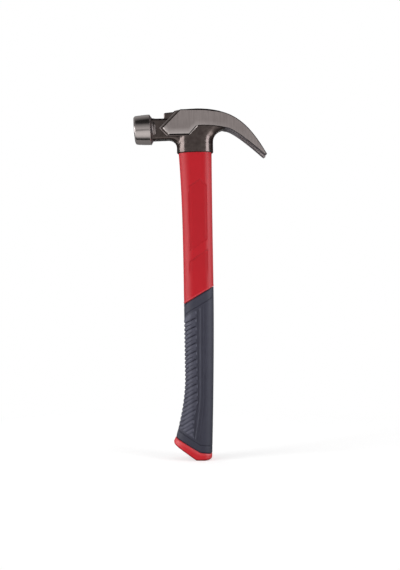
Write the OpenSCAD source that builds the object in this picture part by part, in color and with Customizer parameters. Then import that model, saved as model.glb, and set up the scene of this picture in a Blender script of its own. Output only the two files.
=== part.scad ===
// Curved claw hammer: a one-piece steel head bonded to a fibreglass rod,
// with a moulded handle jacket, a soft grip sleeve and a butt cap.
// The handle runs along Z and the origin is at the middle of the grip.
// The striking face looks along -X and the claw along +X. Millimetres.

/* [Fibreglass rod] */
// Width of the rod, front to back
rod_w = 18; // [14:0.1:22]
// Thickness of the rod
rod_d = 13; // [10:0.1:17]
// Corner radius of the rod
rod_corner = 4.5; // [2:0.1:4.9]
// Depth of the rod's lower end below the middle of the grip
rod_drop = 45; // [30:1:50]

/* [Handle jacket] */
// Height of the head's seat above the middle of the grip
head_seat = 216.5; // [160:0.5:280]
// Wall of the jacket in front of the rod, at the waist
jacket_front = 5.3; // [4:0.1:8]
// Wall of the jacket behind the rod, at the waist
jacket_back = 6.5; // [6:0.1:10]
// Wall of the jacket at each side of the rod, at the waist
jacket_side = 5.3; // [4:0.1:8]
// Corner radius of the handle's section
handle_corner = 6.5; // [4:0.1:9]
// Height at which the handle starts to swell towards the head
swell_start = 90; // [86:1:120]
// Step from the socket's outside in to the jacket
seat_step = 1.6; // [0.5:0.1:3]

/* [Grip sleeve] */
// Height of the sleeve's top edge where it crosses the axis
grip_top = 74.4; // [60:0.1:80]
// Slope of the sleeve's top edge, in degrees
grip_slope = 30; // [0:1:35]
// Wall of the sleeve
grip_wall = 2.6; // [1:0.1:3.2]
// Extra half thickness of the sleeve at the middle of the grip
grip_swell = 1.4; // [0.5:0.1:3]

/* [Butt cap] */
// Extra reach of the butt in front, beyond the waist
butt_flare = 12.3; // [4:0.1:18]
// Distance by which the butt's back is tucked in from the waist
butt_tuck = 4.1; // [0:0.1:5]
// Extra half thickness of the butt beyond the grip
butt_swell = 2; // [0:0.1:5]
// Depth of the sleeve's lower edge at its front end
cap_front_drop = 65.8; // [60:0.1:74]
// Depth of the sleeve's lower edge at its corner
cap_corner_drop = 80.5; // [78:0.1:90]
// Depth of the sleeve's lower edge at its back end
cap_back_drop = 82.3; // [80:0.1:90]
// Height of the cap at its front end
cap_front_h = 6.6; // [5.5:0.1:10]
// Height of the cap at its corner
cap_h = 7.8; // [5.5:0.1:12]
// Height of the cap at its back end
cap_back_h = 6.5; // [5.5:0.1:12]
// Depth to which the jacket is let into the cap
tenon = 3; // [1:0.1:3.2]
// Rounding of the cap's lower edge
cap_round = 2.2; // [0.5:0.1:2.4]

/* [Head socket and eye] */
// Wall of the socket in front of and behind the eye
socket_wall = 7.9; // [5:0.1:10]
// Wall of the socket at each side of the eye
socket_side = 5.7; // [4:0.1:8]
// Shift of the socket's middle towards the claw
socket_shift = -0.6; // [-1:0.1:1]
// Corner radius of the socket
socket_corner = 11; // [4:0.1:12]
// Resin gap all round the rod at the bottom of the eye
eye_gap = 1.2; // [0.6:0.1:2]
// Extra gap each side at the top of the tapered eye
eye_taper = 1.5; // [0.5:0.1:2.5]
// Depth of the resin's top face below the crown of the head
resin_recess = 1.8; // [1:0.1:4]
// Cover of resin over the top end of the rod
resin_cover = 3; // [1:0.1:6]

/* [Head forging] */
// Height of the crown above the seat
crown_h = 43; // [41:0.1:50]
// Wall of each ground cheek at the top of the eye
cheek_wall = 5; // [4.2:0.1:7]
// Step from the socket's side in to the web that joins it to neck and claw
web_step = 1.4; // [0.5:0.1:4]
// Height of the neck's middle above the seat
neck_mid = 24.5; // [22:0.1:27]
// Height of the neck
neck_h = 21; // [17:0.1:24]
// Half thickness of the neck
neck_depth = 10; // [8:0.1:12]
// Chamfer along the neck's corners
neck_chamfer = 3.2; // [1:0.1:5]
// Radius of the fillet between neck and socket
throat_r = 8.5; // [5:0.1:10]
// Diameter of the poll
poll_d = 30.2; // [26:0.1:34]
// Diameter of the flat striking face
face_d = 26.4; // [22:0.1:27]
// Distance of the striking face from the handle's axis
face_reach = 61; // [56:0.1:72]
// Length of the poll, face to back rim
poll_len = 16.2; // [12:0.1:20]
// Downward tilt of the striking face, in degrees
poll_tilt = 2.5; // [0:0.5:5]

/* [Claw] */
// Reach of the claw's tips from the handle's axis
claw_reach = 70.2; // [60:0.1:85]
// Drop of the claw's tips below the seat
claw_drop = 3.3; // [0:0.1:8]
// Extra half width at the claw's tips, beyond the cheeks
claw_flare = 1.8; // [0:0.1:4]
// Radius of the fillet between claw and socket
crotch_r = 12.3; // [8:0.1:14]
// Width of the nail slot at the tips
slot_w = 9.6; // [6:0.1:12]
// Width of the nail slot at its root
slot_root_w = 1.8; // [1:0.1:3]
// Distance of the slot's root from the handle's axis
slot_root = 27; // [24:0.5:34]

/* [Nail starter] */
// Diameter of the groove that a nail lies in
groove_d = 5; // [3:0.1:8]
// Half thickness of the block under the groove
block_depth = 8.4; // [6:0.1:10]
// Diameter of the magnet
magnet_d = 5; // [3:0.1:7]
// Thickness of the magnet
magnet_h = 3; // [1:0.1:5]
// Clearance round the magnet
magnet_clear = 0.1; // [0.05:0.05:0.3]

/* [Hidden] */

$fn = 64;
// Steps along each rounded corner, each curve and each fillet
corner_n = 6;
curve_n = 18;
fillet_n = 8;
// Overlap that carries a cut past the face it opens
past = 1;

// Handle: its reach at the waist, the socket and the butt
waist_front = rod_w / 2 + jacket_front;
waist_back = rod_w / 2 + jacket_back;
waist_depth = rod_d / 2 + jacket_side;
socket_w = rod_w + 2 * (eye_gap + socket_wall);
socket_d = rod_d + 2 * (eye_gap + socket_side);
// Height at which the butt's flare starts, and how steeply each swell grows
flare_start = -5;
flare_power = 1.85;
swell_power = 3;
back_power = 1.6;
top_front = socket_w / 2 - socket_shift - seat_step;
top_back = socket_w / 2 + socket_shift - seat_step;
top_depth = socket_d / 2 - seat_step;
grip_front_z = grip_top - waist_front * tan(grip_slope);
grip_back_z = grip_top + waist_back * tan(grip_slope);
jacket_rings = 8;
grip_rings = 12;
// Place along X of the corner in the cap's edges, and its shift at the bottom
cap_corner_x = -0.5;
cap_corner_shift = -4;
cap_edge = [-cap_front_drop, -cap_corner_drop, -cap_back_drop];
cap_floor = cap_edge - [cap_front_h, cap_h, cap_back_h];
butt_z = cap_floor[1];

// Head: all heights are above the seat
cheek_depth = rod_d / 2 + eye_gap + eye_taper + cheek_wall;
web_depth = socket_d / 2 - web_step;
claw_depth = cheek_depth + claw_flare;
resin_top = crown_h - resin_recess;
rod_top = head_seat + resin_top - resin_cover;
neck_top = neck_mid + neck_h / 2;
neck_low = neck_mid - neck_h / 2;
socket_front_x = socket_shift - socket_w / 2;
socket_back_x = socket_shift + socket_w / 2;
// Cheek plate: its front corner, its lower edge and the rise to the claw
cheek_front = [-31, neck_mid + 0.2];
cheek_low_front = [-25.4, 18.1];
cheek_low_back = [-6.5, 18.1];
cheek_rise = [0.8, 25.8];
cheek_top = [-16, crown_h - 0.6];
crown_start = [1, crown_h];
// Claw: the lines of its back and its underside, and its blunt tip
claw_tip_t = 2;
claw_tip_angle = 60.5;
claw_top_pull = 37;
claw_tip_pull = 34.5;
belly_pull = 7.5;
belly_tip_pull = 14;
belly_angle = 42;
claw_tip = [claw_reach, -claw_drop];
claw_heel = claw_tip - claw_tip_t * [sin(claw_tip_angle), cos(claw_tip_angle)];
crotch = [socket_back_x + crotch_r, 11];
belly_start = crotch + [0, crotch_r];
claw_flare_x = 30;
// Nail block: its front face, its back step and its top
block_front = -31;
block_back = -21.5;
block_top = neck_top + 5.6;
block_step = 1.2;
groove_sink = 0.9;
magnet_x = (block_front + block_back) / 2;
groove_floor = block_top + groove_sink - groove_d / 2;
// Poll: its front bevel, the cone behind it and the length let into the neck
bevel_len = 1.7;
rim_taper = 0.9;
cone_len = 3.9;
neck_back = -20;

// Points of an arc about a centre
function arc(centre, r, from, to, n) = [
    for (i = [0:n])
        let (a = from + (to - from) * i / n)
        centre + r * [cos(a), sin(a)]
];

// Points of a cubic curve between two ends with two pulls
function curve(p0, p1, p2, p3, n) = [
    for (i = [0:n])
        let (t = i / n, s = 1 - t)
        s ^ 3 * p0 + 3 * s * s * t * p1 + 3 * s * t * t * p2 + t ^ 3 * p3
];

// Share of the way from one height to another, none before the first
function share(z, from, to) = max(0, (z - from) / (to - from));

function blend(a, b, t) = a + (b - a) * t;

// Reach of the handle in front of and behind its axis, and its half thickness
function front_reach(z) =
    waist_front
    + (top_front - waist_front) * share(z, swell_start, head_seat) ^ swell_power
    + butt_flare * share(z, flare_start, cap_floor[0]) ^ flare_power;

function back_reach(z) =
    waist_back
    + (top_back - waist_back) * share(z, swell_start, head_seat) ^ swell_power
    - butt_tuck * share(z, grip_back_z, -cap_back_drop) ^ back_power;

function half_depth(z) =
    waist_depth
    + (top_depth - waist_depth) * share(z, swell_start, head_seat) ^ swell_power
    + grip_swell * min(1, share(z, grip_top, 0))
    + butt_swell * share(z, flare_start, butt_z) ^ flare_power;

// Height on a section that kinks at one place along X
function kinked_z(x, ends, kink, z) =
    x < kink
        ? blend(z[0], z[1], (x - ends[0]) / (kink - ends[0]))
        : blend(z[1], z[2], (x - kink) / (ends[1] - kink));

// Rounded-rectangle outline between two ends along X
function outline(ends, kink, depth, r) =
    let (near = ends[0] + r, far = ends[1] - r, side = depth - r)
    concat(
        arc([far, side], r, 0, 90, corner_n),
        [[kink, depth]],
        arc([near, side], r, 90, 180, corner_n),
        arc([near, -side], r, 180, 270, corner_n),
        [[kink, -depth]],
        arc([far, -side], r, 270, 360, corner_n)
    );

// Ring of points: an outline lifted to a kinked line of heights between two line ends
function ring(ends, line, kink, depth, r, z) = [
    for (p = outline(ends, kink, depth, r))
        [p[0], p[1], kinked_z(p[0], line, kink, z)]
];

function level(z) = [z, z, z];

// Ring on the handle's surface, set in by a wall
function handle_ring(z, wall, kink) =
    let (line = [-front_reach(z[0]), back_reach(z[2])])
    ring(
        line + [wall, -wall],
        line,
        kink,
        half_depth(z[1]) - wall,
        max(handle_corner - wall, 1),
        z
    );

function lowered(points, drop) = [for (p = points) p - [0, 0, drop]];

function rod_outline(gap) =
    outline([-rod_w / 2 - gap, rod_w / 2 + gap], 0, rod_d / 2 + gap, rod_corner);

function rod_ring(gap, z) = [for (p = rod_outline(gap)) [p[0], p[1], z]];

// Heights of the sleeve's ring, from its slanted top edge to its kinked lower edge
function grip_z(t) = blend([grip_front_z, grip_top, grip_back_z], cap_edge, t);

function grip_ring(t, wall) = handle_ring(grip_z(t), wall, cap_corner_x);

// Gap of resin at a height in the tapered eye
function resin_gap(h) = eye_gap + eye_taper * h / crown_h;

// Skin through rings of points, with a cap on the first and the last or joined in a loop
module skin(rings, loop = false) {
    count = len(rings[0]);
    last = len(rings) - 1;
    points = [for (r = rings) each r];
    walls = [
        for (r = [0:loop ? last : last - 1])
            let (a = r * count, b = (r + 1) % (last + 1) * count)
            for (i = [0:count - 1])
                let (
                    j = (i + 1) % count,
                    forward = norm(points[a + i] - points[b + j]),
                    backward = norm(points[b + i] - points[a + j])
                )
                each forward <= backward
                    ? [[a + i, b + i, b + j], [a + i, b + j, a + j]]
                    : [[a + i, b + i, a + j], [b + i, b + j, a + j]]
    ];
    first_cap = [
        for (i = [0:count / 2 - 2])
            each [[i, i + 1, count - 2 - i], [i, count - 2 - i, count - 1 - i]]
    ];
    end = last * count;
    last_cap = [
        for (f = first_cap)
            [end + f[2], end + f[1], end + f[0]]
    ];
    polyhedron(points, loop ? walls : concat(walls, first_cap, last_cap));
}

// Plate with a side outline, standing evenly about the hammer's middle plane
module plate(points, half) {
    translate([0, half, 0])
        rotate([90, 0, 0])
            linear_extrude(2 * half)
                polygon(points);
}

// Cheeks and claw: one ground plate that widens towards the tips
module cheek_and_claw() {
    claw_back = curve(
        crown_start,
        crown_start + [claw_top_pull, 0],
        claw_tip + claw_tip_pull * [-cos(claw_tip_angle), sin(claw_tip_angle)],
        claw_tip,
        curve_n
    );
    belly = curve(
        belly_start,
        belly_start + [belly_pull, 0],
        claw_heel + belly_tip_pull * [-cos(belly_angle), sin(belly_angle)],
        claw_heel,
        curve_n
    );
    intersection() {
        plate(
            concat(
                [cheek_top, cheek_front, cheek_low_front, cheek_low_back, cheek_rise],
                belly,
                [for (i = [curve_n:-1:0]) claw_back[i]]
            ),
            claw_depth + past
        );
        translate([0, 0, -crown_h])
            linear_extrude(3 * crown_h)
                polygon([
                    [cheek_front[0] - past, cheek_depth],
                    [claw_flare_x, cheek_depth],
                    [claw_reach + past, claw_depth],
                    [claw_reach + past, -claw_depth],
                    [claw_flare_x, -cheek_depth],
                    [cheek_front[0] - past, -cheek_depth]
                ]);
    }
}

// Web under the cheeks, with the throat and crotch fillets
module web() {
    throat = [socket_front_x - throat_r, neck_low - throat_r];
    plate(
        concat(
            arc(throat, throat_r, 90, 0, fillet_n),
            arc(crotch, crotch_r, 180, 90, fillet_n),
            [
                [belly_start[0], cheek_rise[1]],
                [socket_front_x - throat_r, neck_mid]
            ]
        ),
        web_depth
    );
}

module socket() {
    linear_extrude(neck_mid)
        polygon(outline([socket_front_x, socket_back_x], 0, socket_d / 2, socket_corner));
}

// Eight-sided neck between the poll and the cheeks
module neck() {
    start = -face_reach + poll_len;
    c = neck_chamfer;
    w = neck_depth;
    translate([start, 0, 0])
        rotate([90, 0, 90])
            linear_extrude(neck_back - start)
                polygon([
                    [w, neck_low + c],
                    [w, neck_top - c],
                    [w - c, neck_top],
                    [c - w, neck_top],
                    [-w, neck_top - c],
                    [-w, neck_low + c],
                    [c - w, neck_low],
                    [w - c, neck_low]
                ]);
}

// Round poll with a bevelled striking face and a cone down to the neck
module poll() {
    rim_r = poll_d / 2;
    translate([poll_len - face_reach, 0, neck_mid])
        rotate([0, -90 - poll_tilt, 0])
            rotate_extrude()
                polygon([
                    [0, poll_len],
                    [face_d / 2, poll_len],
                    [rim_r - rim_taper, poll_len - bevel_len],
                    [rim_r, 0],
                    [neck_h / 2, -cone_len],
                    [0, -cone_len]
                ]);
}

// Stepped block on the neck that carries the nail groove
module nail_block() {
    plate(
        [
            [block_front, neck_mid],
            [block_front, block_top - block_step],
            [block_front + block_step, block_top],
            [block_back, block_top],
            [block_back + block_step, block_top + block_step],
            cheek_top,
            [cheek_top[0], neck_mid]
        ],
        block_depth
    );
}

module nail_groove() {
    translate([block_front - past, 0, block_top + groove_sink])
        rotate([0, 90, 0])
            cylinder(h = block_back - block_front + past, d = groove_d);
}

module magnet_pocket() {
    translate([magnet_x, 0, groove_floor - magnet_h])
        cylinder(h = magnet_h + groove_d, d = magnet_d + 2 * magnet_clear);
}

// Nail slot: a wedge seen from above, open at the tips
module nail_slot() {
    tips = claw_reach + past;
    translate([0, 0, -crown_h])
        linear_extrude(3 * crown_h)
            polygon(concat(
                arc([slot_root, 0], slot_root_w / 2, 90, 270, fillet_n),
                [[tips, -slot_w / 2], [tips, slot_w / 2]]
            ));
}

module eye() {
    reach = crown_h + past;
    skin([rod_ring(resin_gap(-past), -past), rod_ring(resin_gap(reach), reach)]);
}

module hammer_head() {
    color("dimgray")
        translate([0, 0, head_seat])
            difference() {
                union() {
                    cheek_and_claw();
                    web();
                    socket();
                    neck();
                    poll();
                    nail_block();
                }
                eye();
                nail_slot();
                nail_groove();
                magnet_pocket();
            }
}

module fibreglass_rod() {
    color("khaki")
        translate([0, 0, -rod_drop])
            linear_extrude(rod_top + rod_drop)
                polygon(rod_outline(0));
}

// Bonding resin between the rod and the tapered eye, closed over the rod's top end
module eye_resin() {
    rod_h = rod_top - head_seat;
    color("darkgoldenrod")
        translate([0, 0, head_seat])
            skin([
                rod_ring(0, rod_h),
                rod_ring(0, 0),
                rod_ring(resin_gap(0), 0),
                rod_ring(resin_gap(resin_top), resin_top)
            ]);
}

// Jacket: full size above the sleeve, set in under it, with a blind hole for the rod
module handle_jacket() {
    tenon_ring = lowered(grip_ring(1, grip_wall), tenon);
    under_grip = [for (i = [grip_rings:-1:0]) grip_ring(i / grip_rings, grip_wall)];
    above_grip = [
        for (i = [0:jacket_rings])
            handle_ring(blend(grip_z(0), level(head_seat), i / jacket_rings), 0, cap_corner_x)
    ];
    color("firebrick")
        skin(concat(
            [tenon_ring],
            under_grip,
            above_grip,
            [rod_ring(0, head_seat), rod_ring(0, -rod_drop)]
        ));
}

module grip_sleeve() {
    outer = [for (i = [grip_rings:-1:0]) grip_ring(i / grip_rings, 0)];
    inner = [for (i = [0:grip_rings]) grip_ring(i / grip_rings, grip_wall)];
    color("darkslategray")
        skin(concat(outer, inner), loop = true);
}

// Cap: closes the butt, with a rounded lower edge and a recess for the jacket's end
module butt_cap() {
    floor_x = cap_corner_x + cap_corner_shift;
    full = cap_floor + level(cap_round);
    line = [-front_reach(cap_floor[0]), back_reach(full[2])];
    depth = half_depth(full[1]);
    rounded = [
        for (p = arc([0, 0], cap_round, -90, 0, fillet_n))
            let (inset = cap_round - p[0])
            ring(
                line + [inset, -inset],
                line,
                floor_x,
                depth - inset,
                handle_corner - inset,
                full + level(p[1])
            )
    ];
    color("firebrick")
        skin(concat(
            rounded,
            [
                grip_ring(1, 0),
                grip_ring(1, grip_wall),
                lowered(grip_ring(1, grip_wall), tenon)
            ]
        ));
}

module starter_magnet() {
    color("silver")
        translate([magnet_x, 0, head_seat + groove_floor - magnet_h])
            cylinder(h = magnet_h, d = magnet_d);
}

hammer_head();
fibreglass_rod();
eye_resin();
handle_jacket();
grip_sleeve();
butt_cap();
starter_magnet();
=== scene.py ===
from math import atan, copysign, cos, exp, hypot, pi, radians, sin, tan

import bmesh
import bpy
from mathutils import Matrix, Vector


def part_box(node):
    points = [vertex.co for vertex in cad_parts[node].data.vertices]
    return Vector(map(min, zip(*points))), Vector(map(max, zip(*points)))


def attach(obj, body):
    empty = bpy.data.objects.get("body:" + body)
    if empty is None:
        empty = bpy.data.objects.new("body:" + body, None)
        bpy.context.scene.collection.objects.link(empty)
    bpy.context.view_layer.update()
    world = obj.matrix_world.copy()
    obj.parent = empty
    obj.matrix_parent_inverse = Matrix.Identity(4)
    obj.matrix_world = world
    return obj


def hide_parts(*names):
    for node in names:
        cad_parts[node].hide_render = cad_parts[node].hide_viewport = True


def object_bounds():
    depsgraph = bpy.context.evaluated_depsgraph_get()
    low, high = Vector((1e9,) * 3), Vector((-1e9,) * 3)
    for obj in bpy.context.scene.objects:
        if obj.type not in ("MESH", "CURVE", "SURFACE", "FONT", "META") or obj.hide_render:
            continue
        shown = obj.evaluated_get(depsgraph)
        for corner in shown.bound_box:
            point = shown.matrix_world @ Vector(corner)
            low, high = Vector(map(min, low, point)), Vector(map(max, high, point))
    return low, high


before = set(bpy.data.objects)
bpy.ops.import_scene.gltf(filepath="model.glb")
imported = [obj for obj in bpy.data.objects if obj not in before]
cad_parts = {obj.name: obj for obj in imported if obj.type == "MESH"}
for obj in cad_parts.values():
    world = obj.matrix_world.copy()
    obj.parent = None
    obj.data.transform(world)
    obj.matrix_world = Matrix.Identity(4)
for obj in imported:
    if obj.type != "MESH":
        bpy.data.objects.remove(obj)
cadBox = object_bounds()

mm = 0.001  # sizes below are in millimetres, Blender's are in metres
scene = bpy.context.scene
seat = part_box("handle_jacket")[1].z / mm  # the head sits on the jacket at this height


# Curves and outlines

straightOn = 0.08  # corners that turn less than this get no mitre


def evenly(count, end=1):
    return [end * k / count for k in range(count + 1)]


def share(value, start, end):
    return max(0, (value - start) / (end - start))


def clamp(value, low=0, high=1):
    return min(high, max(low, value))


def mix(a, b, t):
    return a + (b - a) * t


def mixAll(first, second, t):
    return tuple(mix(a, b, t) for a, b in zip(first, second))


def smooth(t):
    t = clamp(t)
    return t * t * (3 - 2 * t)


def ease(value, span):
    return smooth(share(value, *span))


def valley(distance, half):
    return exp(-(distance / half) ** 2)


def arc(centre, radius, start, end, steps):
    turns = [radians(mix(start, end, t)) for t in evenly(steps)]
    return [(centre[0] + radius * cos(a), centre[1] + radius * sin(a)) for a in turns]


def curve(p0, p1, p2, p3, steps):
    points = []
    for t in evenly(steps):
        s = 1 - t
        pulls = list(zip((s ** 3, 3 * s * s * t, 3 * s * t * t, t ** 3), (p0, p1, p2, p3)))
        points.append(tuple(sum(w * p[i] for w, p in pulls) for i in (0, 1)))
    return points


# moves each edge of a counter-clockwise outline out by its own width
def grow(outline, widths):
    grown = []
    for i, point in enumerate(outline):
        before, after = outline[i - 1], outline[(i + 1) % len(outline)]
        normals = []
        for a, b in ((before, point), (point, after)):
            along = Vector((b[0] - a[0], b[1] - a[1])).normalized()
            normals.append(Vector((along.y, -along.x)))
        first, second = normals
        w1, w2 = widths[i - 1], widths[i]
        cross = first.x * second.y - first.y * second.x
        if abs(cross) < straightOn:
            move = (first + second).normalized() * (w1 + w2) / 2
        else:
            move = Vector((w1 * second.y - w2 * first.y, w2 * first.x - w1 * second.x)) / cross
        grown.append((point[0] + move.x, point[1] + move.y))
    return grown


# distance from a point to an outline's edge, below zero inside it
def edgeDistance(point, outline):
    nearest, inside = 1e9, False
    for a, b in zip(outline, outline[1:] + outline[:1]):
        dx, dz = b[0] - a[0], b[1] - a[1]
        px, pz = point[0] - a[0], point[1] - a[1]
        t = clamp((px * dx + pz * dz) / (dx * dx + dz * dz))
        nearest = min(nearest, hypot(px - t * dx, pz - t * dz))
        if (pz < 0) != (point[1] < b[1]) and px < pz * dx / dz:
            inside = not inside
    return -nearest if inside else nearest


# Modelling steps

def startFresh():
    if bpy.context.mode != "OBJECT":
        bpy.ops.object.mode_set(mode="OBJECT")
    bpy.ops.object.select_all(action="DESELECT")


def activate(piece):
    startFresh()
    piece.select_set(True)
    bpy.context.view_layer.objects.active = piece


def editAll(piece):
    activate(piece)
    bpy.ops.object.mode_set(mode="EDIT")
    bpy.ops.mesh.select_all(action="SELECT")


# adds a primitive, a lamp or the camera, with nothing else selected
def begin(name, operator, **settings):
    startFresh()
    operator(**settings)
    bpy.context.object.name = name
    return bpy.context.object


# turns all faces outwards, after merging close points and filling holes where asked
def closeUp(piece, merge=0, fill=False):
    editAll(piece)
    if merge:
        bpy.ops.mesh.remove_doubles(threshold=merge * mm)
    if fill:
        bpy.ops.mesh.fill_holes(sides=0)
        bpy.ops.mesh.select_all(action="SELECT")
    bpy.ops.mesh.normals_make_consistent(inside=False)
    bpy.ops.object.mode_set(mode="OBJECT")
    return piece


def layRing(piece, ring):
    mesh = bmesh.from_edit_mesh(piece.data)
    spot = mesh.verts.layers.int["spot"]
    for vert in mesh.verts:
        if vert.select:
            vert.co = Vector(ring[vert[spot]]) * mm
    bmesh.update_edit_mesh(piece.data)


# a filled circle is laid on the first ring, and extruded from ring to ring
def loft(name, rings):
    circle = bpy.ops.mesh.primitive_circle_add
    piece = begin(name, circle, vertices=len(rings[0]), radius=mm, fill_type="NGON")
    bpy.ops.object.mode_set(mode="EDIT")
    mesh = bmesh.from_edit_mesh(piece.data)
    spot = mesh.verts.layers.int.new("spot")
    for vert in mesh.verts:
        vert[spot] = vert.index
    bmesh.update_edit_mesh(piece.data)
    layRing(piece, rings[0])
    for ring in rings[1:]:
        bpy.ops.mesh.extrude_region_move()
        layRing(piece, ring)
    return closeUp(piece)


# a loft through the near side's rings, then their mirror images
def loftBothSides(name, near):
    return loft(name, near + [[(x, -y, z) for x, y, z in ring] for ring in near[::-1]])


# a flat grid is rolled up: its columns go round each ring, its rows from ring to ring
def rollUp(name, rings):
    around, rows = len(rings[0]), len(rings) - 1
    grid = bpy.ops.mesh.primitive_grid_add
    piece = begin(name, grid, x_subdivisions=around, y_subdivisions=rows, size=2)
    for vert in piece.data.vertices:
        column = round((vert.co.x + 1) / 2 * around) % around
        row = round((vert.co.y + 1) / 2 * rows)
        vert.co = Vector(rings[row][column]) * mm
    return closeUp(piece, merge=0.002, fill=True)


# cuts through a piece, and takes off what lies below where asked
def cutAcross(piece, place, normal, trim=False):
    editAll(piece)
    place = tuple(c * mm for c in place)
    bpy.ops.mesh.bisect(plane_co=place, plane_no=normal, use_fill=trim, clear_inner=trim)
    bpy.ops.object.mode_set(mode="OBJECT")


def applyStep(piece, kind, **settings):
    activate(piece)
    step = piece.modifiers.new(kind.lower(), kind)
    for name, value in settings.items():
        setattr(step, name, value)
    bpy.ops.object.modifier_apply(modifier=step.name)


def combine(target, tool, how):
    applyStep(target, "BOOLEAN", operation=how, object=tool, solver="EXACT", material_mode="INDEX")
    bpy.data.objects.remove(tool)


# all faces take one finish, or each the one that a function chooses
def wear(piece, finishes, choice=0):
    piece.data.materials.clear()
    for finish in finishes:
        piece.data.materials.append(finish)
    for face in piece.data.polygons:
        face.material_index = choice(face) if callable(choice) else choice


# keeps a number for each point of the rings, for the finish to read
def markPoints(piece, name, rings, marks):
    table = {}
    for ring, mark in zip(rings, marks):
        for point, value in zip(ring, mark):
            table[tuple(round(c, 2) for c in point)] = value
    layer = piece.data.attributes.new(name, "FLOAT", "POINT")
    for k, vert in enumerate(piece.data.vertices):
        layer.data[k].value = table.get(tuple(round(c / mm, 2) for c in vert.co), 0)


# shades a finished piece and puts it on the frame
def hangOn(piece, sharp, node):
    activate(piece)
    bpy.ops.object.shade_smooth_by_angle(angle=radians(sharp))
    applyStep(piece, "WEIGHTED_NORMAL", keep_sharp=True, weight=80)
    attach(piece, "root")
    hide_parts(node)
    print(piece.name, "stands for", node, "with", len(piece.data.polygons), "faces")


# Finishes: a socket with arithmetic, and a sheet of nodes to put it on

class Value:
    def __init__(self, sheet, socket):
        self.sheet = sheet
        self.socket = socket

    def maths(self, operation, first, second):
        return self.sheet.add("ShaderNodeMath", {"operation": operation}, {0: first, 1: second})

    def __add__(self, other):
        return self.maths("ADD", self, other)

    def __sub__(self, other):
        return self.maths("SUBTRACT", self, other)

    def __rsub__(self, other):
        return self.maths("SUBTRACT", other, self)

    def __mul__(self, other):
        return self.maths("MULTIPLY", self, other)

    __radd__ = __add__
    __rmul__ = __mul__


class Sheet:
    def __init__(self, owner):  # a material or the world
        owner.use_nodes = True
        self.tree = owner.node_tree
        self.tree.nodes.clear()

    def socket(self, sockets, key):
        if isinstance(key, int):
            return sockets[key]
        return next(s for s in sockets if s.enabled and key in (s.identifier, s.name))

    def add(self, kind, settings=None, inputs=None, output=0):
        node = self.tree.nodes.new(kind)
        for name, value in (settings or {}).items():
            if name == "stops":
                ramp = node.color_ramp.elements
                while len(ramp) < len(value):
                    ramp.new(0.5)
                for stop, (place, level) in zip(ramp, value):
                    stop.position = place
                    stop.color = (level, level, level, 1)
            else:
                setattr(node, name, value)
        for key, value in (inputs or {}).items():
            socket = self.socket(node.inputs, key)
            if isinstance(value, Value):
                self.tree.links.new(value.socket, socket)
            else:
                socket.default_value = value
        return Value(self, self.socket(node.outputs, output)) if node.outputs else None

    def ray(self, kind):
        return self.add("ShaderNodeLightPath", output=kind)

    def mark(self, name):
        return self.add("ShaderNodeAttribute", {"attribute_name": name}, None, "Fac")

    def place(self, scale=(1, 1, 1)):
        coords = self.add("ShaderNodeTexCoord", output="Object")
        return self.add("ShaderNodeMapping", None, {"Vector": coords, "Scale": scale})

    def axis(self, vector, name):
        return self.add("ShaderNodeSeparateXYZ", None, {"Vector": vector}, name)

    # the scale is one number, or one for each axis
    def noise(self, scale, detail, roughness=0.55):
        spot = self.place(scale if isinstance(scale, tuple) else (scale,) * 3)
        inputs = {"Vector": spot, "Scale": 1, "Detail": detail, "Roughness": roughness}
        return self.add("ShaderNodeTexNoise", None, inputs)

    def ramp(self, factor, stops):
        return self.add("ShaderNodeValToRGB", {"stops": stops}, {"Fac": factor})

    # reads a level off a graph of places in millimetres and levels
    def graph(self, value, points):
        start = points[0][0]
        reach = points[-1][0] - start
        stops = [((place - start) / reach, level) for place, level in points]
        return self.ramp((value - start * mm) * (1 / (reach * mm)), stops)

    def colours(self, factor, first, second):
        inputs = {"Factor_Float": factor, "A_Color": first, "B_Color": second}
        return self.add("ShaderNodeMix", {"data_type": "RGBA"}, inputs, "Result_Color")

    def bump(self, height, strength, distance):
        inputs = {"Height": height, "Strength": strength, "Distance": distance * mm}
        return self.add("ShaderNodeBump", None, inputs)


def rgb(red, green, blue):
    return (red, green, blue, 1)


# mixes a finish from layers of noise (scale, detail, roughness), each with its parts in the
# tone, the roughness and the height; covers are more colours, with their masks and smoothness
def mixFinish(name, look, covers=None):
    material = bpy.data.materials.new(name)
    sheet = Sheet(material)
    layers = [(sheet.noise(*noise), parts) for noise, parts in look["layers"]]

    def blend(k):
        terms = [layer * parts[k] for layer, parts in layers if parts[k]]
        return sum(terms[1:], terms[0])

    tone = blend(0)
    if "tone" in look:
        tone = sheet.ramp(tone, look["tone"])
    # painted highlight and shade, kept on the points
    if "rubbed" in look:
        tone = tone + sheet.mark("rubbed") * look["rubbed"] + look["plain"]
    colour = sheet.colours(tone, look["dark"], look["light"])
    rough = blend(1) + look["rough"]
    for mask, cover, smoother in covers(sheet, look) if covers else ():
        colour = sheet.colours(mask, colour, cover)
        if smoother:
            rough *= 1 - mask * smoother
    inputs = {"Base Color": colour, "Roughness": rough, **look["shader"]}
    if "bump" in look:  # strength and distance
        inputs["Normal"] = sheet.bump(blend(2), *look["bump"])
    shader = sheet.add("ShaderNodeBsdfPrincipled", None, inputs)
    sheet.add("ShaderNodeOutputMaterial", None, {"Surface": shader})
    return material


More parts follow.
